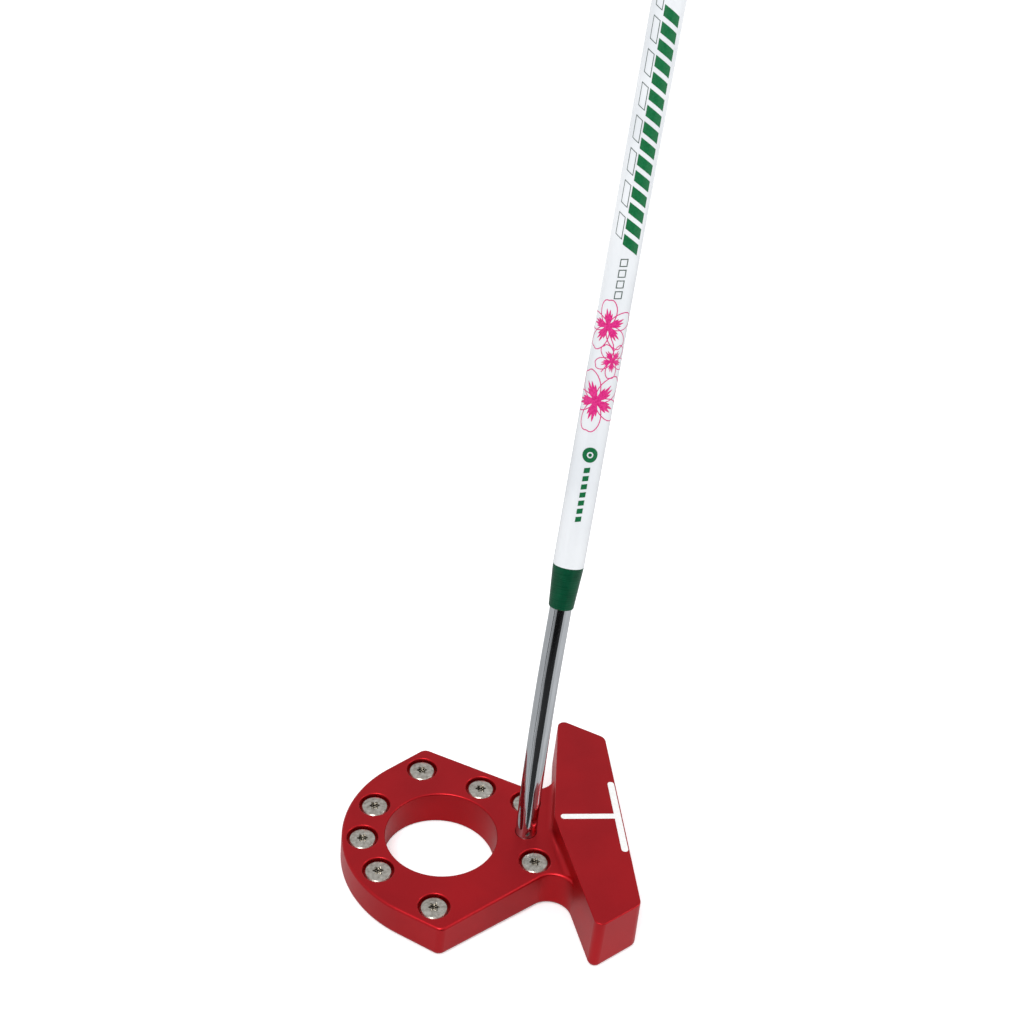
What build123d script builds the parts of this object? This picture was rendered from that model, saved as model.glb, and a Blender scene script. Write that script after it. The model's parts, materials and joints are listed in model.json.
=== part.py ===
"""Mallet putter, right-handed: milled head, eight screw weights, two-piece shaft and grip.

Millimetres, +Z up. The origin is on the sole, under the point where the shaft enters the head.
+X points out of the striking face. +Y points to the heel, where the player stands.
"""
import os
from math import acos, atan2, cos, hypot, radians, sin, tan

from build123d import *

BOTTOM = (Align.CENTER, Align.CENTER, Align.MIN)
TOP = (Align.CENTER, Align.CENTER, Align.MAX)

# Head, seen from above
face_x = 42.8
face_half_width = 50.3
end_sweep = 32.0
bar_rear_x = 11.6
bar_rear_sweep = 8.8
bar_front_corner = 4.2
bar_rear_corner = 3.2
bar_rear_ridge = 6.0
hole_x = -37.2
hole_radius = 24.4
rear_land = 18.8
rear_arc_radius = 51.7
tip_x = -41.0
tip_y = 54.6
tip_corner = 4.0
side_sweep = 31.8
neck_fillet = 9.4

# Head, heights
bar_height = 26.8
plate_height = 18.2
plate_tilt = 2.3
face_loft = 2.0
plate_edge = 1.2
bar_edge = 0.5
sole_edge = 3.0
rim_edge = 0.8
root_fillet = 2.6
root_inset = 0.1

# Alignment mark: the crossbar is as long as a golf ball is wide
ball_diameter = 42.7
mark_width = 3.0
mark_to_face = 1.5
mark_rear_x = 16.0
groove_depth = 0.5
paint_depth = 0.45

# Screw weights
screw_head_radius = 5.95
screw_head_height = 3.0
screw_head_crown = 0.45
screw_head_bevel = 0.55
screw_shank_radius = 4.0
screw_shank_length = 8.0
screw_point = 0.8
screw_recess = 0.65
screw_gap = 0.85
screw_slip = 0.05
screw_spare_depth = 0.8
pocket_edge = 0.6
socket_core_radius = 1.75
socket_lobe_radius = 0.5
socket_lobe_circle = 1.95
socket_lobes = 6
socket_depth = 2.4
weight_land = 9.8
weight_spread = 34.6
inner_weight_angle = 54.6
tip_weight_back = 2.1
tip_weight_inset = 13.6
neck_weight_x = 1.8
neck_weight_y = 17.8

# Shaft: a steel tip tube with a slight bend, joined to a wider upper tube
shaft_lean_heel = 0.3045
shaft_lean_front = 0.052
upper_lean_front = 0.1023
shaft_bore_depth = 15.0
tip_radius = 4.7
tip_wall = 0.8
tip_bond_gap = 0.15
tip_plug_length = 8.0
bend_start = 8.0
straight_below_coupler = 2.0
collar_start = 105.5
collar_length = 19.0
collar_foot_wall = 0.65
collar_edge = 0.35
collar_slip = 0.04
tip_inside_collar = 7.0
coupler_spigot_length = 26.0
coupler_shoulder = 0.5
coupler_bore_radius = 2.0
bond_gap = 0.1
tube_radius = 6.6
tube_bore_radius = 5.45
tube_butt_radius = 7.3
tube_straight_length = 280.0
insert_gap = 6.0
insert_length = 150.0
insert_wall = 0.7
insert_slip = 0.03
club_length = 864.0

# Grip: a flat front for the thumbs, a deeper back
grip_length = 267.0
grip_skin = 1.3
grip_lip = 4.0
tape_thickness = 0.3
cap_thickness = 4.0
cap_edge = 1.4
vent_radius = 1.5
cap_spigot_length = 9.0
cap_spigot_slip = 0.05
grip_front_corner = 5.0
grip_flat = 1.0
# share of the grip's length, width, reach to the front and reach to the back
grip_stations = (
    (0.0, 20.4, 9.8, 10.2),
    (0.35, 24.6, 10.5, 11.6),
    (0.75, 28.8, 11.2, 13.6),
    (1.0, 30.0, 11.5, 15.6),
)

# Worked-out sizes
hole_rear_x = hole_x - hole_radius
rear_x = hole_rear_x - rear_land
rear_arc_x = rear_x + rear_arc_radius
pocket_radius = screw_head_radius + screw_gap
thread_radius = screw_shank_radius + screw_slip
pocket_depth = screw_recess + screw_head_height
thread_depth = screw_shank_length + screw_spare_depth
tip_bore_radius = tip_radius + tip_bond_gap
tip_inner_radius = tip_radius - tip_wall
collar_foot_radius = tip_radius + collar_foot_wall
coupler_land_radius = tip_radius + coupler_shoulder
tip_end = collar_start + tip_inside_collar
collar_top = collar_start + collar_length
bend_end = tip_end - coupler_spigot_length - straight_below_coupler
bend_length = bend_end - bend_start
through = 4 * bar_height
flat_tolerance = 0.02


def plate_top(x):
    """Height of the ring plate's sloping top at x, on the centre line."""
    return plate_height + x * tan(radians(plate_tilt))


def mirrored(points):
    """The same points on the toe side, in reverse order."""
    return [(x, -y) for x, y in reversed(points)]


def bar_sketch():
    """Front bar: flat face, slanted ends and a shallow vee at the back."""
    end_slope = tan(radians(end_sweep))
    rear_slope = tan(radians(bar_rear_sweep))
    run = face_x - bar_rear_x
    rear_y = (face_half_width + end_slope * run) / (1 + end_slope * rear_slope)
    rear_corner = (bar_rear_x + rear_slope * rear_y, rear_y)
    front_corner = (face_x, face_half_width)
    half = [front_corner, rear_corner]
    outline = Polyline(*half, (bar_rear_x, 0), *mirrored(half), close=True)
    sketch = Sketch() + make_face(outline)
    by_y = sketch.vertices().sort_by(Axis.Y)
    sketch = fillet([by_y[0], by_y[-1]], bar_rear_corner)
    return fillet(sketch.vertices().sort_by(Axis.X)[0], bar_rear_ridge)


def plate_sketch():
    """Ring plate: round back, a pointed tip on each side, sides that close in on the neck."""
    reach = hypot(tip_x - rear_arc_x, tip_y)
    touch = atan2(tip_y, tip_x - rear_arc_x) + acos(rear_arc_radius / reach)
    touch_point = (rear_arc_x + rear_arc_radius * cos(touch), rear_arc_radius * sin(touch))
    inside_bar_x = (bar_rear_x + face_x) / 2
    neck_y = tip_y - (inside_bar_x - tip_x) * tan(radians(side_sweep))
    side = [(inside_bar_x, neck_y), (tip_x, tip_y), touch_point]
    edges = Polyline(*mirrored(side))
    edges += ThreePointArc((touch_point[0], -touch_point[1]), (rear_x, 0), touch_point)
    edges += Polyline(*reversed(side))
    edges += Line(side[0], (inside_bar_x, -neck_y))
    sketch = Sketch() + make_face(edges)
    by_y = sketch.vertices().sort_by(Axis.Y)
    return fillet([by_y[0], by_y[-1]], tip_corner)


def footprint_sketch():
    """Both outlines joined, with the round of the neck."""
    joined = bar_sketch() + plate_sketch()
    by_side = [vertex for vertex in joined.vertices() if abs(vertex.Y) > bar_rear_ridge]
    necks = [vertex for vertex in by_side if abs(vertex.Y) < face_half_width / 2]
    return fillet(necks, neck_fillet)


def top_plane(x, y):
    """A plane on the plate's top, square to it."""
    tilt = radians(plate_tilt)
    along = (cos(tilt), 0, sin(tilt))
    return Plane(origin=(x, y, plate_top(x)), x_dir=along, z_dir=(-sin(tilt), 0, cos(tilt)))


def weight_places():
    """Plan position of each screw weight."""
    circle = hole_radius + weight_land

    def on_circle(angle):
        return hole_x + circle * cos(radians(angle)), circle * sin(radians(angle))

    return {
        "weight_screw_rear": on_circle(180),
        "weight_screw_rear_heel": on_circle(180 - weight_spread),
        "weight_screw_rear_toe": on_circle(180 + weight_spread),
        "weight_screw_tip_heel": (tip_x - tip_weight_back, tip_y - tip_weight_inset),
        "weight_screw_tip_toe": (tip_x - tip_weight_back, tip_weight_inset - tip_y),
        "weight_screw_inner_heel": on_circle(inner_weight_angle),
        "weight_screw_neck_heel": (neck_weight_x, neck_weight_y),
        "weight_screw_neck_toe": (neck_weight_x, -neck_weight_y),
    }


def mark_sketch():
    """Alignment mark: a crossbar along the face and a stem to the back, with round ends."""
    cross_x = face_x - mark_to_face - mark_width / 2
    cross = SlotOverall(ball_diameter, mark_width, rotation=90)
    stem_length = cross_x - mark_rear_x
    stem = SlotOverall(stem_length + mark_width, mark_width)
    return Pos(cross_x, 0) * cross + Pos(mark_rear_x + stem_length / 2, 0) * stem


def half_space(plane):
    """A block that fills everything above a plane, as far as the head reaches."""
    return plane * Pos(0, 0, through / 2) * Box(through * 4, through * 4, through)


def make_bar():
    """Front bar with its lofted face and rounded corners."""
    loft = radians(face_loft)
    face_plane = Plane(origin=(face_x, 0, 0), z_dir=(cos(loft), 0, sin(loft)))
    bar = extrude(bar_sketch(), bar_height) - half_space(face_plane)
    face = bar.faces().sort_by(Axis.X)[-1]
    bar = fillet(face.edges().sort_by(Axis.Y)[0::3], bar_front_corner)
    return fillet(bar.faces().sort_by(Axis.Z)[-1].edges(), bar_edge)


def make_plate():
    """Ring plate with its sloping top and rounded upper edge, up to the middle of the bar."""
    inside_bar = Plane(origin=((bar_rear_x + face_x) / 2, 0, 0), z_dir=(1, 0, 0))
    plate = extrude(footprint_sketch(), plate_height + face_x) - half_space(top_plane(0, 0))
    plate = fillet(plate.faces().sort_by(Axis.Z)[-1].outer_wire().edges(), plate_edge)
    return plate - half_space(inside_bar)


def make_root(bar):
    """Hollow round between the bar's back and the plate's top, kept off the plate's rounded edge."""
    ground = top_plane(0, 0)
    slab = ground * Box(through * 2, through * 2, plate_height / 2, align=TOP)
    stand = slab + bar
    pierced = [face for face in stand.faces() if face.inner_wires()]
    top_face = [face for face in pierced if on_plane(face.outer_wire(), ground)][0]
    stand = fillet(top_face.inner_wires()[0].edges(), root_fillet)
    return stand & extrude(offset(footprint_sketch(), -plate_edge - root_inset), through)


def make_head():
    """Milled head: ring plate and front bar in one, with every pocket, bore and groove."""
    bar = make_bar()
    head = make_plate() + bar + make_root(bar)
    head = fillet(head.faces().sort_by(Axis.Z)[0].edges(), sole_edge)

    head -= Pos(hole_x, 0) * Cylinder(hole_radius, through)
    head = fillet([edge for edge in head.edges() if goes_round(edge, hole_radius)], rim_edge)

    for x, y in weight_places().values():
        mouth = top_plane(x, y)
        head -= mouth * cylinder_down(pocket_radius, pocket_depth)
        head -= mouth * cylinder_down(thread_radius, pocket_depth + thread_depth)
    head = fillet(pocket_rims(head), pocket_edge)

    bore = Cylinder(tip_bore_radius, through, align=BOTTOM)
    head -= bore_plane() * Pos(0, 0, -shaft_bore_depth) * bore
    head -= Pos(0, 0, bar_height - groove_depth) * extrude(mark_sketch(), through)
    return head


def cylinder_down(radius, depth):
    """A cylinder that hangs below its plane."""
    return Cylinder(radius, depth, align=TOP)


def on_plane(edge, plane):
    """True for an edge that lies in a plane."""
    points = [edge.position_at(share) for share in (0, 0.5, 1)]
    return all(abs((point - plane.origin).dot(plane.z_dir)) < flat_tolerance for point in points)


def goes_round(edge, radius):
    """True for an edge that closes on itself, seen from above as a circle of this radius."""
    size = edge.bounding_box().size
    return abs(size.X - 2 * radius) < flat_tolerance and abs(size.Y - 2 * radius) < flat_tolerance


def pocket_rims(head):
    """The upper rim of every screw pocket."""
    rims = [edge for edge in head.edges().filter_by(GeomType.CIRCLE) if on_plane(edge, top_plane(0, 0))]
    return [edge for edge in rims if abs(edge.radius - pocket_radius) < flat_tolerance]


def make_mark():
    """White paint that fills the alignment groove, just below flush."""
    return Pos(0, 0, bar_height - groove_depth) * extrude(mark_sketch(), paint_depth)


def make_screw():
    """Screw weight with a crowned head and a six-lobe socket; its head's top is at z = 0."""
    rim = screw_head_radius
    floor = -screw_head_height
    end = floor - screw_shank_length
    edges = Line((0, 0), (0, end))
    edges += Polyline(
        (0, end),
        (screw_shank_radius - screw_point, end),
        (screw_shank_radius, end + screw_point),
        (screw_shank_radius, floor),
        (rim, floor),
        (rim, -screw_head_crown - screw_head_bevel),
        (rim - screw_head_bevel, -screw_head_crown),
    )
    crown_radius = ((rim - screw_head_bevel) ** 2 + screw_head_crown**2) / (2 * screw_head_crown)
    half_rim = (rim - screw_head_bevel) / 2
    crown_middle = (half_rim, (crown_radius**2 - half_rim**2) ** 0.5 - crown_radius)
    edges += ThreePointArc((rim - screw_head_bevel, -screw_head_crown), crown_middle, (0, 0))
    screw = revolve(Plane.XZ * make_face(edges), Axis.Z)
    lobes = PolarLocations(socket_lobe_circle, socket_lobes) * Circle(socket_lobe_radius)
    socket = Circle(socket_core_radius) + lobes
    return screw - Pos(0, 0, -socket_depth) * extrude(socket, through)


def direction(lean_front):
    """Unit vector up the shaft for a given forward lean."""
    return Vector(lean_front, shaft_lean_heel, 1).normalized()


def bore_plane():
    """Where the shaft enters the head; local Z runs up the lower shaft."""
    along = direction(shaft_lean_front)
    return Plane(origin=(0, 0, plate_height), x_dir=(along.Z, 0, -along.X), z_dir=along)


def bend_radius():
    """Radius of the bend that turns the lower shaft's line into the upper one's."""
    turn = direction(shaft_lean_front).get_angle(direction(upper_lean_front))
    return bend_length / radians(turn)


def bend_tangent():
    """Distance from each end of the bend to the corner where the two lines meet."""
    turn = direction(shaft_lean_front).get_angle(direction(upper_lean_front))
    return bend_radius() * tan(radians(turn) / 2)


def bend_corner():
    """Where the lines of the lower and the upper shaft meet."""
    return (bore_plane() * Pos(0, 0, bend_start + bend_tangent())).position


def upper_plane():
    """End of the bend; local Z runs up the straight shaft and -Y is the side the thumbs press."""
    upper = direction(upper_lean_front)
    end = bend_corner() + upper * bend_tangent()
    return Plane(origin=end, x_dir=(upper.Z, 0, -upper.X), z_dir=upper)


def station(distance):
    """Local height on the upper plane of a place this far up the shaft from the head."""
    return distance - bend_end


def shaft_path(low, high):
    """Centre line of the lower shaft, from below the head's top to a place above the bend."""
    start = bore_plane() * Pos(0, 0, low)
    end = upper_plane() * Pos(0, 0, station(high))
    return FilletPolyline(start.position, bend_corner(), end.position, radius=bend_radius())


def make_tip_tube():
    """Chromed steel tube, from the floor of the bore to inside the collar, with its slight bend."""
    path = shaft_path(-shaft_bore_depth, tip_end)
    section = Circle(tip_radius) - Circle(tip_inner_radius)
    return sweep(bore_plane() * Pos(0, 0, -shaft_bore_depth) * section, path=path)


def make_tip_bond():
    """Epoxy between the steel tube and its bore, up to the plate's lowest rim."""
    ring = Circle(tip_bore_radius) - Circle(tip_radius)
    across = direction(shaft_lean_front).get_angle(top_plane(0, 0).z_dir)
    low_rim = tip_bore_radius * tan(radians(across))
    return bore_plane() * Pos(0, 0, -shaft_bore_depth) * extrude(ring, shaft_bore_depth - low_rim)


def make_tip_plug():
    """Cork plug that keeps the epoxy out of the tube."""
    plug = Cylinder(tip_inner_radius, tip_plug_length, align=BOTTOM)
    return bore_plane() * Pos(0, 0, -shaft_bore_depth) * plug


def tube_between(inner, outer, low, high):
    """A plain sleeve on the upper shaft between two places."""
    ring = Circle(outer) - Circle(inner)
    return upper_plane() * Pos(0, 0, station(low)) * extrude(ring, high - low)


def make_coupler():
    """Bored aluminium coupler: a thin spigot, a land and a wide spigot for the upper tube."""
    low = tip_end - coupler_spigot_length
    top = collar_top + coupler_spigot_length
    narrow = tube_between(coupler_bore_radius, tip_inner_radius - bond_gap, low, tip_end)
    land = tube_between(coupler_bore_radius, coupler_land_radius, tip_end, collar_top)
    wide = tube_between(coupler_bore_radius, tube_bore_radius - bond_gap, collar_top, top)
    return narrow + land + wide


def make_lower_coupler_bond():
    """Epoxy between the coupler's thin spigot and the steel tube."""
    low = tip_end - coupler_spigot_length
    return tube_between(tip_inner_radius - bond_gap, tip_inner_radius, low, tip_end)


def make_upper_coupler_bond():
    """Epoxy between the coupler's wide spigot and the upper tube."""
    low = collar_top
    return tube_between(tube_bore_radius - bond_gap, tube_bore_radius, low, low + coupler_spigot_length)


def make_collar():
    """Tapered collar over the joint, flush with the upper tube at its top."""
    top = collar_length
    edges = Polyline(
        (tip_radius + collar_slip, 0),
        (collar_foot_radius - collar_edge, 0),
        (collar_foot_radius, collar_edge),
        (tube_radius, top),
        (coupler_land_radius + collar_slip, top),
        (coupler_land_radius + collar_slip, tip_inside_collar),
        (tip_radius + collar_slip, tip_inside_collar),
        close=True,
    )
    return upper_plane() * Pos(0, 0, station(collar_start)) * revolve(Plane.XZ * make_face(edges), Axis.Z)


def tube_surface(distance):
    """Radius of the upper tube's outside at a place up the shaft: straight, then slowly wider."""
    taper_start = collar_top + tube_straight_length
    share = max(0, distance - taper_start) / (butt_end() - taper_start)
    return tube_radius + share * (tube_butt_radius - tube_radius)


def butt_end():
    """How far up the shaft the upper tube ends, under the grip's cap."""
    below_top = plate_height / direction(shaft_lean_front).Z
    return club_length - below_top - cap_thickness


def make_upper_tube():
    """Painted carbon-fibre tube from the collar to the cap."""
    low = collar_top
    taper_start = low + tube_straight_length
    edges = Polyline(
        (tube_bore_radius, station(low)),
        (tube_surface(low), station(low)),
        (tube_surface(taper_start), station(taper_start)),
        (tube_surface(butt_end()), station(butt_end())),
        (tube_bore_radius, station(butt_end())),
        close=True,
    )
    return upper_plane() * revolve(Plane.XZ * make_face(edges), Axis.Z)


def make_insert():
    """Aluminium tube that stiffens the upper tube above the coupler."""
    low = collar_top + coupler_spigot_length + insert_gap
    outer = tube_bore_radius - insert_slip
    return tube_between(outer - insert_wall, outer, low, low + insert_length)


def grip_start():
    """How far up the shaft the grip begins."""
    return butt_end() + cap_thickness - grip_length


def taped_cone(low, high, extra):
    """A solid cone over the upper tube between two places, this much thicker than the tube."""
    edges = Polyline(
        (0, station(low)),
        (tube_surface(low) + extra, station(low)),
        (tube_surface(high) + extra, station(high)),
        (0, station(high)),
        close=True,
    )
    return upper_plane() * revolve(Plane.XZ * make_face(edges), Axis.Z)


def make_tape():
    """Double-sided tape between the upper tube and the grip."""
    low = grip_start() + grip_lip
    return taped_cone(low, butt_end(), tape_thickness) - taped_cone(low, butt_end(), 0)


def grip_section(width, front, back):
    """Section of the grip: a flat front, a rounder back."""
    middle = (back - front) / 2
    sketch = Pos(0, middle) * Rectangle(width, front + back)
    by_y = sketch.vertices().sort_by(Axis.Y)
    sketch = fillet(by_y[:2], grip_front_corner)
    back_corner = min(width, front + back) / 2 - grip_flat
    return fillet(sketch.vertices().sort_by(Axis.Y)[-2:], back_corner)


def grip_loft(inset, low_share):
    """The grip's outer shape drawn in by an inset, from a share of its length up to the cap."""
    length = grip_length - cap_thickness
    sections = []
    for share, width, front, back in grip_stations:
        height = station(grip_start() + max(share, low_share) * length)
        outline = grip_section(width - 2 * inset, front - inset, back - inset)
        sections.append(upper_plane() * Pos(0, 0, height) * outline)
    return loft(sections)


def make_grip():
    """Soft core and polyurethane skin of the grip."""
    start = grip_start()
    lip_share = grip_lip / (grip_length - cap_thickness)
    core = grip_loft(grip_skin, lip_share)
    skin = grip_loft(0, 0) - core - taped_cone(start, start + grip_lip, 0)
    core -= taped_cone(start + grip_lip, butt_end(), tape_thickness)
    return core, skin


def make_cap():
    """Rubber cap over the grip's top, with a spigot into the tube and a vent hole."""
    place = upper_plane() * Pos(0, 0, station(butt_end()))
    _, width, front, back = grip_stations[-1]
    cap = extrude(grip_section(width, front, back), cap_thickness)
    cap = fillet(cap.faces().sort_by(Axis.Z)[-1].edges(), cap_edge)
    cap += cylinder_down(tube_bore_radius - cap_spigot_slip, cap_spigot_length)
    return place * (cap - Cylinder(vent_radius, through))


def make_nodes():
    """Every piece of the putter, by name."""
    grip_core, grip_cover = make_grip()
    nodes = {
        "head_body": make_head(),
        "alignment_mark": make_mark(),
        "shaft_tip_tube": make_tip_tube(),
        "shaft_tip_bond": make_tip_bond(),
        "shaft_tip_plug": make_tip_plug(),
        "shaft_coupler": make_coupler(),
        "coupler_bond_lower": make_lower_coupler_bond(),
        "coupler_bond_upper": make_upper_coupler_bond(),
        "shaft_collar": make_collar(),
        "shaft_upper_tube": make_upper_tube(),
        "shaft_stiffening_insert": make_insert(),
        "grip_tape": make_tape(),
        "grip_core": grip_core,
        "grip_skin": grip_cover,
        "grip_end_cap": make_cap(),
    }
    screw = make_screw()
    for name, (x, y) in weight_places().items():
        nodes[name] = top_plane(x, y) * Pos(0, 0, -screw_recess) * screw
    return nodes


os.makedirs("parts", exist_ok=True)
for name, node in make_nodes().items():
    export_step(node, f"parts/{name}.step")
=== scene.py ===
"""Mallet putter: finishes, shaft printing, floor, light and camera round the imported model.

Metres, +Z up. +X points out of the striking face and +Y to the heel. Every CAD piece stays as it is and gets
its finish here. What is printed on the shaft is added as thin pieces that ride with the club.
"""
import json
import math

import bmesh
import bpy
from mathutils import Matrix, Vector


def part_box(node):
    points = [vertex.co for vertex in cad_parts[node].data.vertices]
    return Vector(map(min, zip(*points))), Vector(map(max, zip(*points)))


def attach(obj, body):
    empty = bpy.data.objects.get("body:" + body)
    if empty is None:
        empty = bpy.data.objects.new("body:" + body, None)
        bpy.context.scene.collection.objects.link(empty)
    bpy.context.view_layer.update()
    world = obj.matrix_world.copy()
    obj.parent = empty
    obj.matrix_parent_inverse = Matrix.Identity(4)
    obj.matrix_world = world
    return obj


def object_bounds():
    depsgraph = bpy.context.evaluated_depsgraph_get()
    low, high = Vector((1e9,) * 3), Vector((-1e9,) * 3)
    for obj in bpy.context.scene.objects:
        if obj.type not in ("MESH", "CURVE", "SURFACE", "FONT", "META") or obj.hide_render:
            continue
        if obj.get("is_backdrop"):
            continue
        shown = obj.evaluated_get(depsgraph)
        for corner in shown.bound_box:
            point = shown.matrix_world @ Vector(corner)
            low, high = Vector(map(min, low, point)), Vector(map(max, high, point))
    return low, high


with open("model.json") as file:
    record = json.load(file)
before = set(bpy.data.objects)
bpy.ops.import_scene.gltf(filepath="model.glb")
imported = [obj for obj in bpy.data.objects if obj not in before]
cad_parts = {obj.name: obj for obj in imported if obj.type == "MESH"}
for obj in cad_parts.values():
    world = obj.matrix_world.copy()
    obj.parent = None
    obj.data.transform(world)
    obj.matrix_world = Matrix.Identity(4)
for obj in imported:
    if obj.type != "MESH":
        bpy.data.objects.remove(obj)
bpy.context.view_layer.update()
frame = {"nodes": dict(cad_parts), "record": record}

MM = 0.001

# Points this near are one point, and faces that meet at more than this angle keep a sharp corner between them
SAME_POINT = 0.0005 * MM
SHARP_CORNER = math.radians(32)

# Upper tube: its radius, and how far its lower end is below the clip's place on it
TUBE_RADIUS = 6.6 * MM
FOOT_BELOW_CLIP = 140 * MM

# Ink: how far it stands off the tube, the length of its facets, and the side of the tube that it is on
INK_LIFT = 0.03 * MM
INK_STEP = 0.6 * MM
PRINT_TOWARDS = Vector((-0.17, -0.985, 0))

# Facets in a printed streak, a petal's outline and a dot, and the sharpest corner that a line is widened for
STREAK_STEPS = 12
PETAL_STEPS = 24
DISC_STEPS = 32
SHARPEST_BEND = 0.5

# Stripes, dashes and open squares: the distance from one to the next and their slant, in millimetres
STRIPE_PITCH = 6.2
STRIPE_SLANT = -0.55
DASH_PITCH = 3.5
DASH_SLANT = 0.25
SQUARE_PITCH = 4.3

# Studio: the floor's radius and level, and the levels of the cards that lie under the head
FLOOR_RADIUS = 6.0
FLOOR_LEVEL = -0.4 * MM
PAPER_LEVEL = -0.2 * MM
CARD_LEVEL = -0.15 * MM
CLOTH_LEVEL = -0.1 * MM

# The lights shine at this place, a little above the head
LIT_PLACE = Vector((0, 0, 0.05))

# Camera: place, heading from +Y, tilt below the horizon, roll and lens
CAMERA_PLACE = Vector((-113.1, -525.19, 551.55)) * MM
CAMERA_HEADING = math.radians(9.775)
CAMERA_TILT = math.radians(34.309)
CAMERA_ROLL = math.radians(-6.656)
CAMERA_LENS = 59.688

# The shaft's line, where the upper tube starts on it, the way its printed side faces, the way to the right of
# that, and the turn that takes +Z to the shaft's line
mounts = {mount["name"]: mount for mount in frame["record"]["mounts"]}
SHAFT_AXIS = Vector(mounts["tube_hold"]["axis"]).normalized()
FOOT = Vector(mounts["tube_hold"]["pos_m"]) - SHAFT_AXIS * FOOT_BELOW_CLIP
FRONT = (PRINT_TOWARDS - SHAFT_AXIS * PRINT_TOWARDS.dot(SHAFT_AXIS)).normalized()
RIGHT = SHAFT_AXIS.cross(FRONT)
SHAFT_TURN = Vector((0, 0, 1)).rotation_difference(SHAFT_AXIS).to_euler()

# The plate's top slopes: its normal, and how far along the normal it is from the origin
HEAD_TOP_NORMAL = Vector(frame["record"]["behaviour"]["joints"][0]["axis"]).normalized()
HEAD_TOP_LEVEL = 18.2 * MM * HEAD_TOP_NORMAL.z

# The screws' sockets: where painted shade starts and the floor's top along that normal, how far down the
# painted shade is full, and how far from the screw's middle the lobes reach
SOCKET_MOUTH = HEAD_TOP_LEVEL - 1.3 * MM
SOCKET_FLOOR = HEAD_TOP_LEVEL - 2.95 * MM
SOCKET_SHADE_FADE = 1.0 * MM
SOCKET_REACH = 2.6 * MM

# The range in which most of a noise pattern's values lie
MIDDLE = {"From Min": 0.3, "From Max": 0.7}


def linear(colour):
    """An sRGB colour, written in hex, as the linear values a shader takes."""
    shares = [int(colour[i:i + 2], 16) / 255 for i in (0, 2, 4)]
    return tuple(c / 12.92 if c <= 0.04045 else ((c + 0.055) / 1.055) ** 2.4 for c in shares) + (1,)


def add(tree, kind, inputs=None, **settings):
    """Adds a node with its settings, and sets or links its inputs."""
    made = tree.nodes.new(kind)
    for name, value in settings.items():
        setattr(made, name, value)
    for name, value in (inputs or {}).items():
        if isinstance(value, bpy.types.NodeSocket):
            tree.links.new(value, made.inputs[name])
        else:
            made.inputs[name].default_value = value
    return made


def start_material(name):
    """An empty material, its node tree, and a place on the object to hang patterns on."""
    material = bpy.data.materials.new(name)
    material.use_nodes = True
    tree = material.node_tree
    tree.nodes.clear()
    return material, tree, add(tree, "ShaderNodeTexCoord").outputs["Object"]


def anodised_aluminium():
    """Aluminium 6061, milled, bead-blasted and dyed red as it was anodised.

    A satin metal: soft broad reflections in deep red, a fine even grain and slow drifts in the dye. The
    clear oxide skin over the dye leaves a paler gleam along the rounded edges.
    """
    material, tree, place = start_material("bead_blasted_red_anodised_aluminium")
    drift = add(tree, "ShaderNodeTexNoise", {"Vector": place, "Scale": 1 / (22 * MM), "Detail": 2.0})
    # bead marks are about 0.1 mm across; drawn 0.3 mm so that they show
    blast = add(tree, "ShaderNodeTexNoise", {"Vector": place, "Scale": 1 / (0.3 * MM), "Detail": 3.0})
    depth = add(tree, "ShaderNodeMapRange", {"Value": drift.outputs["Fac"], **MIDDLE})
    dye = add(
        tree,
        "ShaderNodeMix",
        {0: depth.outputs["Result"], 6: linear("B8121C"), 7: linear("C6161F")},
        data_type="RGBA",
    )
    grain = add(tree, "ShaderNodeMapRange", {"Value": blast.outputs["Fac"], **MIDDLE, "To Max": 0.22})
    speckle = add(
        tree,
        "ShaderNodeMix",
        {0: grain.outputs["Result"], 6: dye.outputs[2], 7: linear("CE333D")},
        data_type="RGBA",
    )
    satin = {"Value": blast.outputs["Fac"], **MIDDLE, "To Min": 0.36, "To Max": 0.46}
    shader = add(
        tree,
        "ShaderNodeBsdfPrincipled",
        {
            "Base Color": speckle.outputs[2],
            "Metallic": 1.0,
            "Roughness": add(tree, "ShaderNodeMapRange", satin).outputs["Result"],
            "Coat Weight": 0.25,
            "Coat Roughness": 0.3,
            "Normal": add(
                tree,
                "ShaderNodeBump",
                {"Height": blast.outputs["Fac"], "Distance": 0.012 * MM, "Strength": 0.5},
            ).outputs["Normal"],
        },
    )
    add(tree, "ShaderNodeOutputMaterial", {"Surface": shader.outputs["BSDF"]})
    return material


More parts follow.
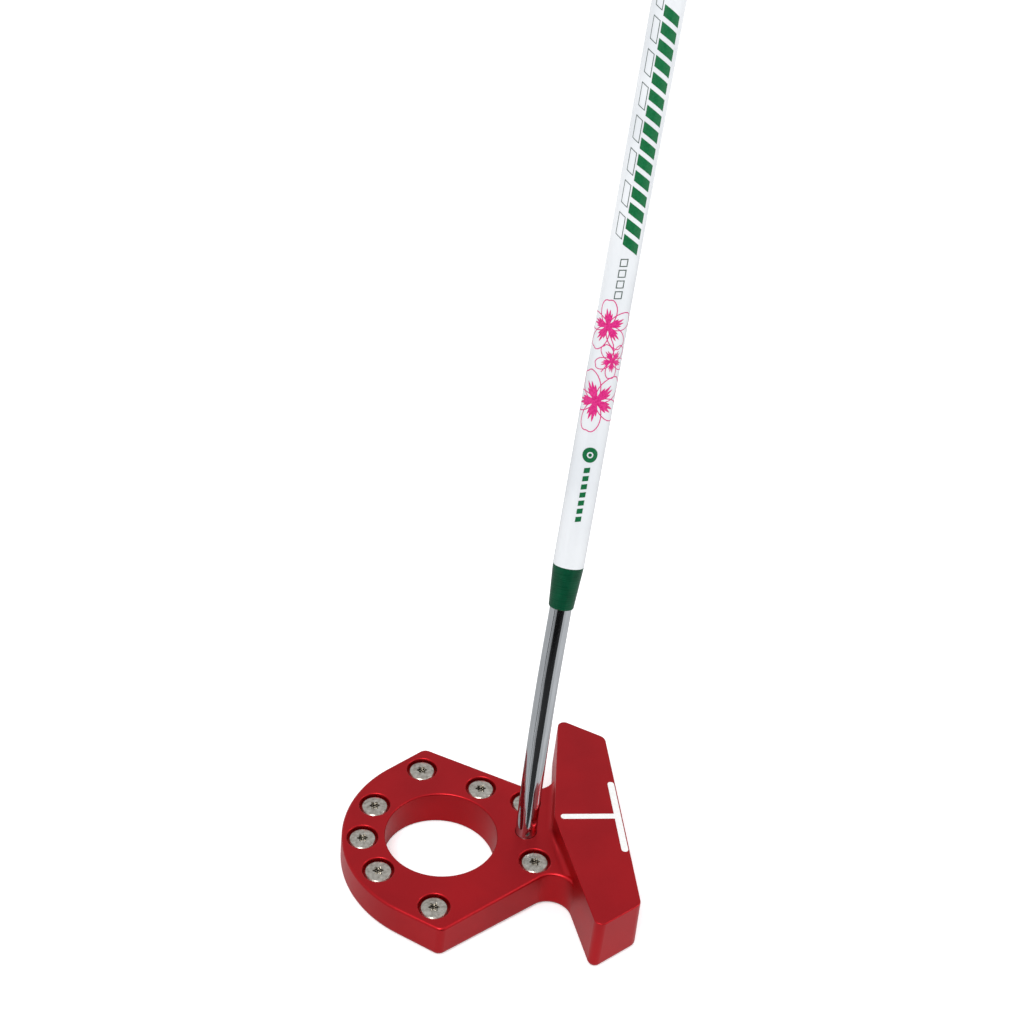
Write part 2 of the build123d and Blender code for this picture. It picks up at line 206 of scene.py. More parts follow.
def tumbled_stainless(screw):
    """Stainless steel 303, turned and tumbled smooth, for one screw.

    A warm grey metal with soft reflections and a cloudy, slightly pitted face from the tumbling stones. The
    socket's wall is darkened with painted shade, and its floor and the shank below it are left plain.
    """
    low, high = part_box(screw)
    material, tree, place = start_material("tumbled_stainless_steel")
    cloud = add(tree, "ShaderNodeTexNoise", {"Vector": place, "Scale": 1 / (1.6 * MM), "Detail": 5.0})
    # pits from the stones are about 0.1 mm across; drawn 0.55 mm so that they show
    pits = add(tree, "ShaderNodeTexVoronoi", {"Vector": place, "Scale": 1 / (0.55 * MM)})
    wear = add(tree, "ShaderNodeMapRange", {"Value": cloud.outputs["Fac"], **MIDDLE})
    tone = add(
        tree,
        "ShaderNodeMix",
        {0: wear.outputs["Result"], 6: linear("A39D92"), 7: linear("E0DBD1")},
        data_type="RGBA",
    )
    # painted shade starts at the socket's mouth and grows down its wall; the floor is left unshaded
    level = add(tree, "ShaderNodeVectorMath", {0: place, 1: HEAD_TOP_NORMAL}, operation="DOT_PRODUCT")
    down = {
        "Value": level.outputs["Value"],
        "From Min": SOCKET_MOUTH - SOCKET_SHADE_FADE,
        "From Max": SOCKET_MOUTH,
        "To Min": 1.0,
        "To Max": 0.0,
    }
    depth = {0: level.outputs["Value"], 1: SOCKET_FLOOR}
    above_floor = add(tree, "ShaderNodeMath", depth, operation="GREATER_THAN")
    offset = add(tree, "ShaderNodeVectorMath", {0: place, 1: (low + high) / 2}, operation="SUBTRACT")
    moment = {0: offset.outputs["Vector"], 1: HEAD_TOP_NORMAL}
    across = add(tree, "ShaderNodeVectorMath", moment, operation="CROSS_PRODUCT")
    radius = add(tree, "ShaderNodeVectorMath", {0: across.outputs["Vector"]}, operation="LENGTH")
    inside = add(tree, "ShaderNodeMath", {0: radius.outputs["Value"], 1: SOCKET_REACH}, operation="LESS_THAN")
    socket = {0: inside.outputs["Value"], 1: above_floor.outputs["Value"]}
    in_socket = add(tree, "ShaderNodeMath", socket, operation="MULTIPLY")
    painted_shade = {0: in_socket.outputs["Value"], 1: add(tree, "ShaderNodeMapRange", down).outputs["Result"]}
    # painted shade: inside the socket and above its floor, the steel's tone mixes towards near black
    socket_shaded = add(
        tree,
        "ShaderNodeMix",
        {
            0: add(tree, "ShaderNodeMath", painted_shade, operation="MULTIPLY").outputs["Value"],
            6: tone.outputs[2],
            7: linear("1A1917"),
        },
        data_type="RGBA",
    )
    polish = {"Value": cloud.outputs["Fac"], **MIDDLE, "To Min": 0.38, "To Max": 0.2}
    shader = add(
        tree,
        "ShaderNodeBsdfPrincipled",
        {
            "Base Color": socket_shaded.outputs[2],
            "Metallic": 1.0,
            "Roughness": add(tree, "ShaderNodeMapRange", polish).outputs["Result"],
            "Normal": add(
                tree,
                "ShaderNodeBump",
                {"Height": pits.outputs["Distance"], "Distance": 0.02 * MM, "Strength": 0.35},
            ).outputs["Normal"],
        },
    )
    add(tree, "ShaderNodeOutputMaterial", {"Surface": shader.outputs["BSDF"]})
    return material


def enamel_fill():
    """White enamel, wiped into the milled groove and cured.

    An opaque, slightly warm white with a soft gloss, a faint sag of the surface and small dirt in it.
    """
    material, tree, place = start_material("white_enamel_paint_fill")
    flow = add(tree, "ShaderNodeTexNoise", {"Vector": place, "Scale": 1 / (1.2 * MM), "Detail": 2.0})
    dirt = add(tree, "ShaderNodeMapRange", {"Value": flow.outputs["Fac"], **MIDDLE})
    white = add(
        tree,
        "ShaderNodeMix",
        {0: dirt.outputs["Result"], 6: linear("F1F0EC"), 7: linear("FBFBFA")},
        data_type="RGBA",
    )
    gloss = {"Value": flow.outputs["Fac"], **MIDDLE, "To Min": 0.3, "To Max": 0.42}
    shader = add(
        tree,
        "ShaderNodeBsdfPrincipled",
        {
            "Base Color": white.outputs[2],
            "Roughness": add(tree, "ShaderNodeMapRange", gloss).outputs["Result"],
            "Normal": add(
                tree,
                "ShaderNodeBump",
                {"Height": flow.outputs["Fac"], "Distance": 0.03 * MM, "Strength": 0.4},
            ).outputs["Normal"],
        },
    )
    add(tree, "ShaderNodeOutputMaterial", {"Surface": shader.outputs["BSDF"]})
    return material


def bright_chrome():
    """Chrome plate on polished steel tube.

    Mirror bright, with faint long polishing lines that soften the reflections a little along the tube.
    """
    material, tree, place = start_material("bright_chrome_plate")
    # polishing lines are about 0.01 mm apart; drawn 0.25 mm so that they show
    drawn = {"Vector": place, "Rotation": SHAFT_TURN, "Scale": (1, 1, 40)}
    along = add(tree, "ShaderNodeMapping", drawn, vector_type="TEXTURE")
    lines = add(
        tree,
        "ShaderNodeTexNoise",
        {"Vector": along.outputs["Vector"], "Scale": 1 / (0.25 * MM), "Detail": 2.0},
    )
    haze = add(tree, "ShaderNodeMapRange", {"Value": lines.outputs["Fac"], **MIDDLE})
    tone = add(
        tree,
        "ShaderNodeMix",
        {0: haze.outputs["Result"], 6: linear("B0B3B6"), 7: linear("C4C7CA")},
        data_type="RGBA",
    )
    polish = {"Value": lines.outputs["Fac"], **MIDDLE, "To Min": 0.04, "To Max": 0.09}
    shader = add(
        tree,
        "ShaderNodeBsdfPrincipled",
        {
            "Base Color": tone.outputs[2],
            "Metallic": 1.0,
            "Roughness": add(tree, "ShaderNodeMapRange", polish).outputs["Result"],
            "Normal": add(
                tree,
                "ShaderNodeBump",
                {"Height": lines.outputs["Fac"], "Distance": 0.001 * MM, "Strength": 0.3},
            ).outputs["Normal"],
        },
    )
    add(tree, "ShaderNodeOutputMaterial", {"Surface": shader.outputs["BSDF"]})
    return material


def collar_plastic():
    """Acetate collar, turned and polished, dyed dark green.

    An even deep green with a soft gloss and faint rings from the turning.
    """
    material, tree, place = start_material("dark_green_acetate")
    # turning marks are about 0.1 mm apart; drawn 0.3 mm so that they show
    turned = {"Vector": place, "Rotation": SHAFT_TURN, "Scale": (1, 1, 1 / 30)}
    around = add(tree, "ShaderNodeMapping", turned, vector_type="TEXTURE")
    rings = add(
        tree,
        "ShaderNodeTexNoise",
        {"Vector": around.outputs["Vector"], "Scale": 1 / (9 * MM), "Detail": 2.0},
    )
    cloud = add(tree, "ShaderNodeTexNoise", {"Vector": place, "Scale": 1 / (4 * MM), "Detail": 3.0})
    depth = add(tree, "ShaderNodeMapRange", {"Value": cloud.outputs["Fac"], **MIDDLE})
    green = add(
        tree,
        "ShaderNodeMix",
        {0: depth.outputs["Result"], 6: linear("013823"), 7: linear("03452C")},
        data_type="RGBA",
    )
    gloss = {"Value": rings.outputs["Fac"], **MIDDLE, "To Min": 0.26, "To Max": 0.3}
    shader = add(
        tree,
        "ShaderNodeBsdfPrincipled",
        {
            "Base Color": green.outputs[2],
            "Roughness": add(tree, "ShaderNodeMapRange", gloss).outputs["Result"],
            "IOR": 1.48,
            "Specular IOR Level": 0.15,
            "Normal": add(
                tree,
                "ShaderNodeBump",
                {"Height": rings.outputs["Fac"], "Distance": 0.001 * MM, "Strength": 0.1},
            ).outputs["Normal"],
        },
    )
    add(tree, "ShaderNodeOutputMaterial", {"Surface": shader.outputs["BSDF"]})
    return material


def gloss_paint():
    """White urethane paint with clear lacquer over carbon-fibre tube.

    A clean cool white under a wet-looking lacquer with the faint ripple that sprayed lacquer has.
    """
    material, tree, place = start_material("white_gloss_lacquer")
    ripple = add(tree, "ShaderNodeTexNoise", {"Vector": place, "Scale": 1 / (2.5 * MM), "Detail": 1.0})
    shade = add(tree, "ShaderNodeTexNoise", {"Vector": place, "Scale": 1 / (30 * MM), "Detail": 1.0})
    depth = add(tree, "ShaderNodeMapRange", {"Value": shade.outputs["Fac"], **MIDDLE})
    white = add(
        tree,
        "ShaderNodeMix",
        {0: depth.outputs["Result"], 6: linear("CDD0D3"), 7: linear("D7D9DB")},
        data_type="RGBA",
    )
    gloss = {"Value": ripple.outputs["Fac"], **MIDDLE, "To Min": 0.28, "To Max": 0.36}
    shader = add(
        tree,
        "ShaderNodeBsdfPrincipled",
        {
            "Base Color": white.outputs[2],
            "Roughness": add(tree, "ShaderNodeMapRange", gloss).outputs["Result"],
            "Coat Weight": 0.4,
            "Coat Roughness": 0.06,
            "Normal": add(
                tree,
                "ShaderNodeBump",
                {"Height": ripple.outputs["Fac"], "Distance": 0.012 * MM, "Strength": 0.3},
            ).outputs["Normal"],
        },
    )
    add(tree, "ShaderNodeOutputMaterial", {"Surface": shader.outputs["BSDF"]})
    return material


def printing_ink(name, dark, light):
    """Screen-printing ink under the lacquer: solid, with a slightly uneven cover and a soft gloss."""
    material, tree, place = start_material(name)
    # thin spots in screen-printed ink are about 0.2 mm across; drawn 0.7 mm so that they show
    cover = add(tree, "ShaderNodeTexNoise", {"Vector": place, "Scale": 1 / (0.7 * MM), "Detail": 3.0})
    thin = add(tree, "ShaderNodeMapRange", {"Value": cover.outputs["Fac"], **MIDDLE})
    ink = add(
        tree,
        "ShaderNodeMix",
        {0: thin.outputs["Result"], 6: linear(dark), 7: linear(light)},
        data_type="RGBA",
    )
    gloss = {"Value": cover.outputs["Fac"], **MIDDLE, "To Min": 0.3, "To Max": 0.42}
    shader = add(
        tree,
        "ShaderNodeBsdfPrincipled",
        {
            "Base Color": ink.outputs[2],
            "Roughness": add(tree, "ShaderNodeMapRange", gloss).outputs["Result"],
            "Specular IOR Level": 0.25,
            "Coat Weight": 0.15,
            "Coat Roughness": 0.08,
            "Normal": add(
                tree,
                "ShaderNodeBump",
                {"Height": cover.outputs["Fac"], "Distance": 0.004 * MM, "Strength": 0.3},
            ).outputs["Normal"],
        },
    )
    add(tree, "ShaderNodeOutputMaterial", {"Surface": shader.outputs["BSDF"]})
    return material


def cured_epoxy():
    """Two-part epoxy, cured: dark amber, glossy where it was squeezed out, with small bubbles."""
    material, tree, place = start_material("cured_epoxy")
    bubbles = add(tree, "ShaderNodeTexVoronoi", {"Vector": place, "Scale": 1 / (0.6 * MM)})
    amber = add(
        tree,
        "ShaderNodeMix",
        {0: bubbles.outputs["Distance"], 6: linear("2B1A12"), 7: linear("4A3220")},
        data_type="RGBA",
    )
    gloss = {"Value": bubbles.outputs["Distance"], **MIDDLE, "To Min": 0.25, "To Max": 0.4}
    shader = add(
        tree,
        "ShaderNodeBsdfPrincipled",
        {
            "Base Color": amber.outputs[2],
            "Roughness": add(tree, "ShaderNodeMapRange", gloss).outputs["Result"],
            "Normal": add(
                tree,
                "ShaderNodeBump",
                {"Height": bubbles.outputs["Distance"], "Distance": 0.03 * MM, "Strength": 0.4},
            ).outputs["Normal"],
        },
    )
    add(tree, "ShaderNodeOutputMaterial", {"Surface": shader.outputs["BSDF"]})
    return material


def cork():
    """Natural cork, cut to a plug: tan, with dark flecks and small open pores."""
    material, tree, place = start_material("natural_cork")
    flecks = add(tree, "ShaderNodeTexNoise", {"Vector": place, "Scale": 1 / (0.9 * MM), "Detail": 6.0})
    pores = add(tree, "ShaderNodeTexVoronoi", {"Vector": place, "Scale": 1 / (0.8 * MM)})
    bark = add(tree, "ShaderNodeMapRange", {"Value": flecks.outputs["Fac"], **MIDDLE})
    tan = add(
        tree,
        "ShaderNodeMix",
        {0: bark.outputs["Result"], 6: linear("6B4526"), 7: linear("B98A58")},
        data_type="RGBA",
    )
    matt = {"Value": flecks.outputs["Fac"], **MIDDLE, "To Min": 0.75, "To Max": 0.9}
    shader = add(
        tree,
        "ShaderNodeBsdfPrincipled",
        {
            "Base Color": tan.outputs[2],
            "Roughness": add(tree, "ShaderNodeMapRange", matt).outputs["Result"],
            "Normal": add(
                tree,
                "ShaderNodeBump",
                {"Height": pores.outputs["Distance"], "Distance": 0.12 * MM, "Strength": 0.6},
            ).outputs["Normal"],
        },
    )
    add(tree, "ShaderNodeOutputMaterial", {"Surface": shader.outputs["BSDF"]})
    return material


def turned_aluminium(name, ring_width):
    """Aluminium as it leaves the lathe or the drawing die: pale, with fine marks of this width."""
    material, tree, place = start_material(name)
    turned = {"Vector": place, "Rotation": SHAFT_TURN, "Scale": (1, 1, 1 / 30)}
    around = add(tree, "ShaderNodeMapping", turned, vector_type="TEXTURE")
    marks = add(
        tree,
        "ShaderNodeTexNoise",
        {"Vector": around.outputs["Vector"], "Scale": 1 / (30 * ring_width), "Detail": 3.0},
    )
    cut = add(tree, "ShaderNodeMapRange", {"Value": marks.outputs["Fac"], **MIDDLE})
    tone = add(
        tree,
        "ShaderNodeMix",
        {0: cut.outputs["Result"], 6: linear("B4B5B7"), 7: linear("D2D3D5")},
        data_type="RGBA",
    )
    satin = {"Value": marks.outputs["Fac"], **MIDDLE, "To Min": 0.25, "To Max": 0.4}
    shader = add(
        tree,
        "ShaderNodeBsdfPrincipled",
        {
            "Base Color": tone.outputs[2],
            "Metallic": 1.0,
            "Roughness": add(tree, "ShaderNodeMapRange", satin).outputs["Result"],
            "Normal": add(
                tree,
                "ShaderNodeBump",
                {"Height": marks.outputs["Fac"], "Distance": 0.01 * MM, "Strength": 0.5},
            ).outputs["Normal"],
        },
    )
    add(tree, "ShaderNodeOutputMaterial", {"Surface": shader.outputs["BSDF"]})
    return material


def crepe_tape():
    """Double-sided crepe paper tape: buff, with fine cross wrinkles."""
    material, tree, place = start_material("crepe_paper_tape")
    pressed = {"Vector": place, "Rotation": SHAFT_TURN, "Scale": (1, 1, 1 / 8)}
    around = add(tree, "ShaderNodeMapping", pressed, vector_type="TEXTURE")
    crepe = add(
        tree,
        "ShaderNodeTexNoise",
        {"Vector": around.outputs["Vector"], "Scale": 1 / (4 * MM), "Detail": 4.0},
    )
    fold = add(tree, "ShaderNodeMapRange", {"Value": crepe.outputs["Fac"], **MIDDLE})
    buff = add(
        tree,
        "ShaderNodeMix",
        {0: fold.outputs["Result"], 6: linear("BFAE86"), 7: linear("DCCFAE")},
        data_type="RGBA",
    )
    matt = {"Value": crepe.outputs["Fac"], **MIDDLE, "To Min": 0.7, "To Max": 0.85}
    shader = add(
        tree,
        "ShaderNodeBsdfPrincipled",
        {
            "Base Color": buff.outputs[2],
            "Roughness": add(tree, "ShaderNodeMapRange", matt).outputs["Result"],
            "Normal": add(
                tree,
                "ShaderNodeBump",
                {"Height": crepe.outputs["Fac"], "Distance": 0.08 * MM, "Strength": 0.6},
            ).outputs["Normal"],
        },
    )
    add(tree, "ShaderNodeOutputMaterial", {"Surface": shader.outputs["BSDF"]})
    return material


def grip_skin():
    """Polyurethane skin of the grip, cast on a grained mould.

    Near black and dull, with a pebble grain about 1 mm across that catches small soft lights, and a duller
    tone where hands have rubbed it.
    """
    material, tree, place = start_material("grained_polyurethane")
    grains = {"Vector": place, "Scale": 1 / (1.1 * MM)}
    pebble = add(tree, "ShaderNodeTexVoronoi", grains, feature="SMOOTH_F1")
    fine = add(tree, "ShaderNodeTexNoise", {"Vector": place, "Scale": 1 / (0.3 * MM), "Detail": 3.0})
    rubbed = add(tree, "ShaderNodeTexNoise", {"Vector": place, "Scale": 1 / (35 * MM), "Detail": 2.0})
    worn = add(tree, "ShaderNodeMapRange", {"Value": rubbed.outputs["Fac"], **MIDDLE})
    black = add(
        tree,
        "ShaderNodeMix",
        {0: worn.outputs["Result"], 6: linear("18191B"), 7: linear("26272A")},
        data_type="RGBA",
    )
    matt = {"Value": rubbed.outputs["Fac"], **MIDDLE, "To Min": 0.5, "To Max": 0.68}
    under = add(
        tree,
        "ShaderNodeBump",
        {"Height": fine.outputs["Fac"], "Distance": 0.03 * MM, "Strength": 0.4},
    )
    over = add(
        tree,
        "ShaderNodeBump",
        {
            "Height": pebble.outputs["Distance"],
            "Distance": 0.12 * MM,
            "Strength": 0.55,
            "Normal": under.outputs["Normal"],
        },
    )
    shader = add(
        tree,
        "ShaderNodeBsdfPrincipled",
        {
            "Base Color": black.outputs[2],
            "Roughness": add(tree, "ShaderNodeMapRange", matt).outputs["Result"],
            "Normal": over.outputs["Normal"],
        },
    )
    add(tree, "ShaderNodeOutputMaterial", {"Surface": shader.outputs["BSDF"]})
    return material


def moulded_rubber(name, dark, light, grain):
    """Rubber or foam from a mould: dull, with a fine matt grain of this size in millimetres."""
    material, tree, place = start_material(name)
    texture = add(tree, "ShaderNodeTexNoise", {"Vector": place, "Scale": 1 / (grain * MM), "Detail": 4.0})
    bloom = add(tree, "ShaderNodeMapRange", {"Value": texture.outputs["Fac"], **MIDDLE})
    black = add(
        tree,
        "ShaderNodeMix",
        {0: bloom.outputs["Result"], 6: linear(dark), 7: linear(light)},
        data_type="RGBA",
    )
    matt = {"Value": texture.outputs["Fac"], **MIDDLE, "To Min": 0.62, "To Max": 0.8}
    shader = add(
        tree,
        "ShaderNodeBsdfPrincipled",
        {
            "Base Color": black.outputs[2],
            "Roughness": add(tree, "ShaderNodeMapRange", matt).outputs["Result"],
            "Normal": add(
                tree,
                "ShaderNodeBump",
                {"Height": texture.outputs["Fac"], "Distance": 0.06 * MM, "Strength": 0.5},
            ).outputs["Normal"],
        },
    )
    add(tree, "ShaderNodeOutputMaterial", {"Surface": shader.outputs["BSDF"]})
    return material


def studio_surface(name, dark, light, glow):
    """Painted board or cloth for the studio: an even tone with a barely seen grain and its own glow."""
    material, tree, place = start_material(name)
    grain = add(tree, "ShaderNodeTexNoise", {"Vector": place, "Scale": 1 / (8 * MM), "Detail": 3.0})
    cover = add(tree, "ShaderNodeMapRange", {"Value": grain.outputs["Fac"], **MIDDLE})
    tone = add(
        tree,
        "ShaderNodeMix",
        {0: cover.outputs["Result"], 6: linear(dark), 7: linear(light)},
        data_type="RGBA",
    )
    matt = {"Value": grain.outputs["Fac"], **MIDDLE, "To Min": 0.85, "To Max": 0.95}
    shader = add(
        tree,
        "ShaderNodeBsdfPrincipled",
        {
            "Base Color": tone.outputs[2],
            "Roughness": add(tree, "ShaderNodeMapRange", matt).outputs["Result"],
            "Emission Color": (1, 1, 1, 1),
            "Emission Strength": glow,
        },
    )
    add(tree, "ShaderNodeOutputMaterial", {"Surface": shader.outputs["BSDF"]})
    return material


def give_finish(node, material):
    """Puts a finish on a CAD piece and shades it as one skin, sharp only at its real corners."""
    piece = frame["nodes"][node]
    piece.data.materials.clear()
    piece.data.materials.append(material)
    welded = piece.modifiers.new("one_skin", "WELD")
    welded.merge_threshold = SAME_POINT
    corners = piece.modifiers.new("real_corners", "EDGE_SPLIT")
    corners.split_angle = SHARP_CORNER
    corners.use_edge_sharp = False
    flats = piece.modifiers.new("level_flats", "WEIGHTED_NORMAL")
    flats.weight = 80
    flats.keep_sharp = True


class Print:
    """One colour of printing on the upper tube.

    A place on it is (across, up): millimetres round the tube to the right of the middle of the printed
    side, and millimetres up from the tube's lower end.
    """

    def __init__(self, name, ink, lift):
        self.name = name
        self.ink = ink
        self.radius = TUBE_RADIUS + lift
        self.mesh = bmesh.new()

    def vertex(self, across, up):
        """A vertex on the tube's skin."""
        turn = across * MM / TUBE_RADIUS
        out = FRONT * math.cos(turn) + RIGHT * math.sin(turn)
        return self.mesh.verts.new(FOOT + SHAFT_AXIS * (up * MM) + out * self.radius)

    def patch(self, rows):
        """A skin over rows of places, all with the same count."""
        made = [[self.vertex(*place) for place in row] for row in rows]
        for low, high in zip(made, made[1:]):
            for i in range(len(low) - 1):
                self.mesh.faces.new((low[i], low[i + 1], high[i + 1], high[i]))

    def bar(self, left, right, low, high, slant):
        """A solid bar whose ends climb to the right by slant for each millimetre across."""
        steps = max(2, round((right - left) * MM / INK_STEP))
        rows = []
        for up in (low, high):
            across = [left + (right - left) * i / steps for i in range(steps + 1)]
            rows.append([(a, up + slant * a) for a in across])
        self.patch(rows)

    def line(self, places, width, closed=False):
        """A line of this width through these places."""
        ends = places + places[:1] if closed else places
        dense = []
        for (a0, u0), (a1, u1) in zip(ends, ends[1:]):
            steps = max(1, round(math.hypot(a1 - a0, u1 - u0) * MM / INK_STEP))
            dense += [(a0 + (a1 - a0) * i / steps, u0 + (u1 - u0) * i / steps) for i in range(steps)]
        dense.append(ends[-1])
        rows = ([], [])
        for i, (a, u) in enumerate(dense):
            before = dense[i - 1] if i else (dense[-2] if closed else dense[0])
            after = dense[i + 1] if i + 1 < len(dense) else (dense[1] if closed else dense[-1])
            lead, trail = Vector((a - before[0], u - before[1])), Vector((after[0] - a, after[1] - u))
            run = (lead.normalized() + trail.normalized()).normalized()
            onward = (trail if trail.length else lead).normalized()
            half = width / 2 / max(SHARPEST_BEND, run.dot(onward))
            rows[0].append((a - run.y * half, u + run.x * half))
            rows[1].append((a + run.y * half, u - run.x * half))
        self.patch(rows)

    def streak(self, across, up, angle, length, width):
        """A solid pointed streak that grows out of a place at an angle."""
        rows = ([], [], [])
        for i in range(STREAK_STEPS + 1):
            share = i / STREAK_STEPS
            half = width / 2 * math.sin(math.pi * share) ** 0.8
            for row, side in zip(rows, (-half, 0, half)):
                row.append(turned_place(across, up, angle, share * length, side))
        self.patch(rows)

    def disc(self, across, up, radius, hole=0.0):
        """A round dot or ring."""
        turns = [2 * math.pi * i / DISC_STEPS for i in range(DISC_STEPS + 1)]
        rows = []
        for share in (hole, (1 + hole) / 2, 1):
            reach = max(share, 0.02) * radius
            rows.append([(across + reach * math.cos(t), up + reach * math.sin(t)) for t in turns])
        self.patch(rows)

    def finish(self):
        """Turns the printing into a piece that rides with the club."""
        bmesh.ops.recalc_face_normals(self.mesh, faces=self.mesh.faces)
        data = bpy.data.meshes.new(self.name)
        self.mesh.to_mesh(data)
        self.mesh.free()
        data.materials.append(self.ink)
        for face in data.polygons:
            face.use_smooth = True
        piece = bpy.data.objects.new(self.name, data)
        bpy.context.collection.objects.link(piece)
        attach(piece, "club")


def turned_place(across, up, angle, along, side):
    """A place along and beside a line that leaves another place at an angle, 90 being straight up."""
    c, s = math.cos(math.radians(angle)), math.sin(math.radians(angle))
    return across + c * along - s * side, up + s * along + c * side


def petal_outline(across, up, angle, length, width):
    """The outline of one broad petal with a notched tip."""
    places = []
    for i in range(PETAL_STEPS + 1):
        share = i / PETAL_STEPS
        turn = 2 * math.pi * share
        along = length * (0.5 - 0.5 * math.cos(turn)) ** 0.8
        notch = 0.06 * length * math.exp(-((share - 0.5) / 0.05) ** 2)
        side = width / 2 * math.sin(turn)
        places.append(turned_place(across, up, angle, along - notch, side))
    return places[:-1]


def blossom(ink, across, up, size, angle, line_width):
    """A five-petalled flower drawn in outline, with solid streaks out of its heart."""
    for i in range(5):
        aim = angle + 72 * i
        ink.line(petal_outline(across, up, aim, size, size * 0.62), line_width, closed=True)
        for spread, share in ((-17, 0.5), (-6, 0.62), (6, 0.66), (17, 0.48)):
            ink.streak(across, up, aim + spread, size * share, size * 0.1)
    ink.disc(across, up, size * 0.16)


# Finishes of the CAD pieces
epoxy = cured_epoxy()
finishes = {
    "head_body": anodised_aluminium(),
    "alignment_mark": enamel_fill(),
    "shaft_tip_tube": bright_chrome(),
    "shaft_tip_bond": epoxy,
    "shaft_tip_plug": cork(),
    "shaft_coupler": turned_aluminium("turned_aluminium", 0.12 * MM),
    "coupler_bond_lower": epoxy,
    "coupler_bond_upper": epoxy,
    "shaft_collar": collar_plastic(),
    "shaft_upper_tube": gloss_paint(),
    "shaft_stiffening_insert": turned_aluminium("drawn_aluminium", 0.3 * MM),
    "grip_tape": crepe_tape(),
    "grip_core": moulded_rubber("foamed_rubber", "1C1C1D", "303032", 0.5),
    "grip_skin": grip_skin(),
    "grip_end_cap": moulded_rubber("moulded_rubber", "141415", "1F1F21", 0.35),
}
for node in frame["nodes"]:
    give_finish(node, finishes.get(node) or tumbled_stainless(node))

# Printing on the upper tube
green_ink = printing_ink("green_printing_ink", "06572F", "0A683A")
pink_ink = printing_ink("pink_printing_ink", "B80F62", "D42F83")
grey_ink = printing_ink("grey_green_printing_ink", "34453E", "4A5A53")

green = Print("printed_green_bars", green_ink, 2 * INK_LIFT)
outline = Print("printed_outlines", grey_ink, INK_LIFT)
pink = Print("printed_blossoms", pink_ink, INK_LIFT)

# small dashes and a ring with a dot in it, above the bare foot of the tube
for i in range(7):
    low = 20.8 + DASH_PITCH * i
    green.bar(-1.0, 1.4, low, low + 2.2, DASH_SLANT)
green.disc(0.4, 49.5, 3.2, 0.42)
green.disc(0.4, 49.5, 0.75)

# blossoms and the twigs between them
blossom(pink, -1.2, 72.0, 13.5, 262, 0.42)
blossom(pink, 2.6, 89.0, 7.5, 200, 0.36)
blossom(pink, -1.6, 102.5, 11.0, 25, 0.4)
pink.line([(-1.2, 84), (0.2, 86.5), (1.4, 88.4)], 0.4)
pink.line([(2.8, 91), (1.9, 95.5), (-0.4, 99.5)], 0.4)

# open squares in thin line
for i in range(4):
    low = 114.0 + SQUARE_PITCH * i
    corners = [(-1.1, low - 0.2), (1.6, low + 0.25), (1.6, low + 3.05), (-1.1, low + 2.6)]
    outline.line(corners, 0.38, closed=True)

# slanted solid stripes, with open ones beside them
for i in range(15):
    low = 134.5 + STRIPE_PITCH * i
    green.bar(-1.6, 5.2, low, low + 4.2, STRIPE_SLANT)
for i in range(9):
    low = 136.0 + 2 * STRIPE_PITCH * i
    corners = [(-5.4, low + 3.0), (-2.4, low + 1.3), (-2.4, low + 9.8), (-5.4, low + 11.5)]
    outline.line(corners, 0.3, closed=True)

for ink in (green, outline, pink):
    ink.finish()

# Floor
bpy.ops.mesh.primitive_circle_add(vertices=96, radius=FLOOR_RADIUS, fill_type="NGON")
floor = bpy.context.object
floor.name = "studio_floor"
floor.location.z = FLOOR_LEVEL
floor.data.materials.append(studio_surface("white_studio_floor", "F4F4F4", "F9F9F9", 0.4))
floor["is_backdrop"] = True


def soft_light(name, place, width, height, power):
    """A square white soft light that shines from a place at the head."""
    data = bpy.data.lights.new(name, "AREA")
    data.shape = "RECTANGLE"
    data.size = width
    data.size_y = height
    data.energy = power
    lamp = bpy.data.objects.new(name, data)
    lamp.location = place
    lamp.rotation_euler = (LIT_PLACE - Vector(place)).to_track_quat("-Z", "Y").to_euler()
    bpy.context.collection.objects.link(lamp)


soft_light("key_light", (-0.55, -0.95, 1.5), 0.7, 0.7, 16)
soft_light("side_light", (1.3, -0.2, 0.9), 0.5, 0.9, 4)


def card(name, corners, tone):
    """A studio card that only shows in shiny surfaces: it gives metal something darker to mirror."""
    mesh = bpy.data.meshes.new(name)
    mesh.from_pydata(corners, [], [tuple(range(len(corners)))])
    mesh.materials.append(studio_surface(name + "_cloth", tone, tone, 0.0))
    made = bpy.data.objects.new(name, mesh)
    made.visible_camera = False
    made.visible_diffuse = False
    made.visible_shadow = False
    bpy.context.collection.objects.link(made)
    made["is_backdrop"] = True


# Paper, cards and cloths that lie on the floor, each with its level, its corners there and its tone. The
# chrome mirrors the black cloth in its middle, the thin one at its left and the grey ones between and beside.
laid = {
    "grey_card": (PAPER_LEVEL, ((-2.0, -2.0), (1.5, -2.0), (1.5, 0.5), (-2.0, 0.5)), "CFCFCF"),
    "dim_card": (CARD_LEVEL, ((-0.05, -0.1), (-1.5, -1.6), (-2.0, -1.3), (-2.0, -1.0)), "A0A0A0"),
    "pale_card": (CARD_LEVEL, ((0.1, -0.1), (1.5, -1.0), (1.5, 0.5), (0.16, 0.1)), "E6E6E6"),
    "black_cloth": (CLOTH_LEVEL, ((-0.03, -0.11), (-0.01, -0.11), (1.0, -1.6), (-1.5, -1.6)), "050505"),
    "thin_cloth": (CLOTH_LEVEL, ((-0.12, -0.07), (-2.0, -0.9), (-2.0, -0.55)), "0C0C0C"),
}
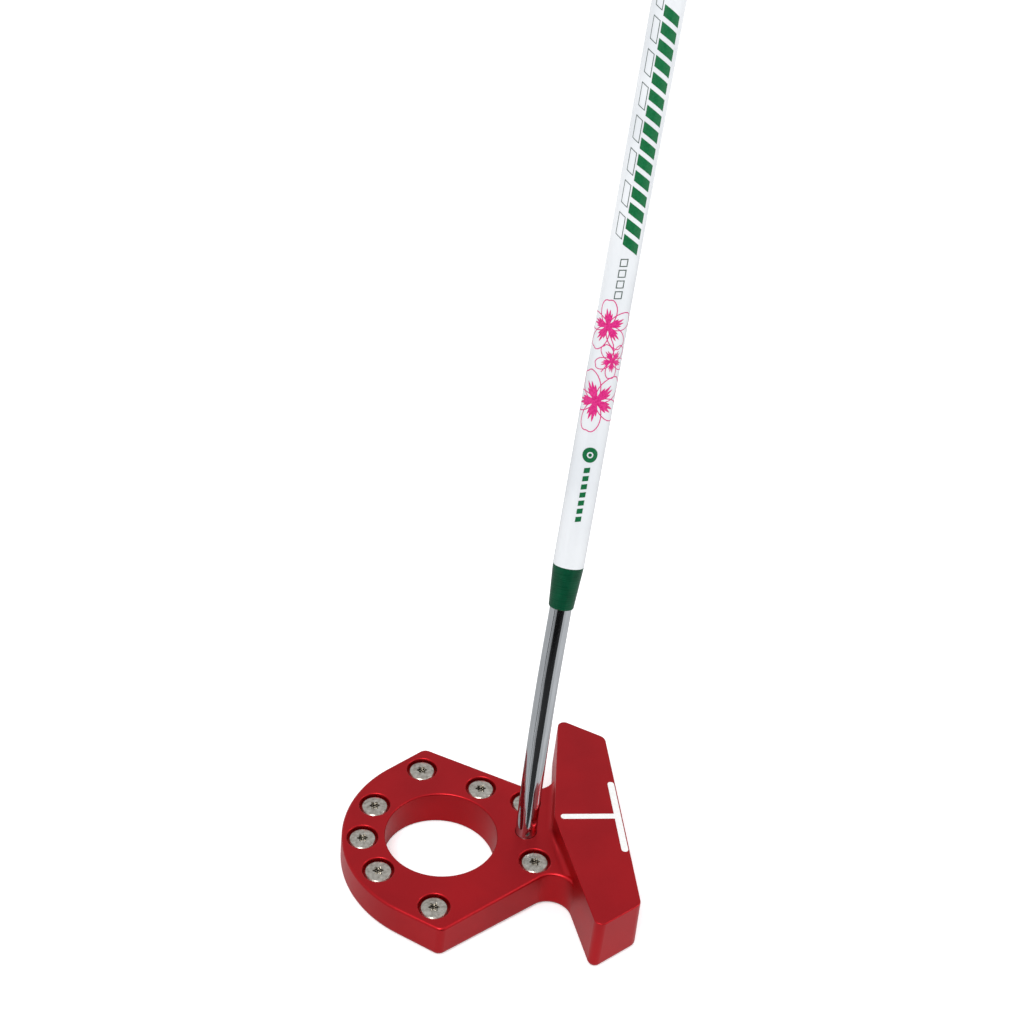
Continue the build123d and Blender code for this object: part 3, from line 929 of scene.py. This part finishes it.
for name, (level, corners, tone) in laid.items():
    card(name, [(x, y, level) for x, y in corners], tone)

# The flag stands at the far edge of the black cloth
card("black_flag", [(-1.5, -1.6, 0), (1.0, -1.6, 0), (1.0, -1.6, 0.9), (-1.5, -1.6, 0.9)], "050505")

# Sky: an even near white, brighter towards -Y
world = bpy.data.worlds.new("soft_studio")
world.use_nodes = True
world_tree = world.node_tree
world_tree.nodes.clear()
heading = add(world_tree, "ShaderNodeTexCoord").outputs["Generated"]
height = add(world_tree, "ShaderNodeSeparateXYZ", {"Vector": heading}).outputs["Y"]
spread = {"Value": height, "From Min": -0.6, "From Max": 0.8, "To Min": 0.75, "To Max": 0.6}
glow = add(world_tree, "ShaderNodeMapRange", spread).outputs["Result"]
sky = add(world_tree, "ShaderNodeBackground", {"Color": linear("F7F9FC"), "Strength": glow})
add(world_tree, "ShaderNodeOutputWorld", {"Surface": sky.outputs["Background"]})
bpy.context.scene.world = world
bpy.context.scene.view_settings.view_transform = "Standard"


def camera_matrix():
    """The camera's place and turn: it looks along its heading, tilted down and rolled."""
    cos_h, sin_h = math.cos(CAMERA_HEADING), math.sin(CAMERA_HEADING)
    cos_t, sin_t = math.cos(CAMERA_TILT), math.sin(CAMERA_TILT)
    ahead = Vector((sin_h * cos_t, cos_h * cos_t, -sin_t))
    level = Vector((cos_h, -sin_h, 0))
    down = ahead.cross(level)
    right = level * math.cos(CAMERA_ROLL) + down * math.sin(CAMERA_ROLL)
    lower = down * math.cos(CAMERA_ROLL) - level * math.sin(CAMERA_ROLL)
    turn = Matrix((right, -lower, -ahead)).transposed().to_4x4()
    return Matrix.Translation(CAMERA_PLACE) @ turn


# Camera
camera_data = bpy.data.cameras.new("camera")
camera_data.lens = CAMERA_LENS
camera_data.sensor_width = 36
camera_data.clip_start = 0.01
camera = bpy.data.objects.new("camera", camera_data)
camera.matrix_world = camera_matrix()
bpy.context.collection.objects.link(camera)
bpy.context.scene.camera = camera

# The box round every shown piece that is not part of the studio
low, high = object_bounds()
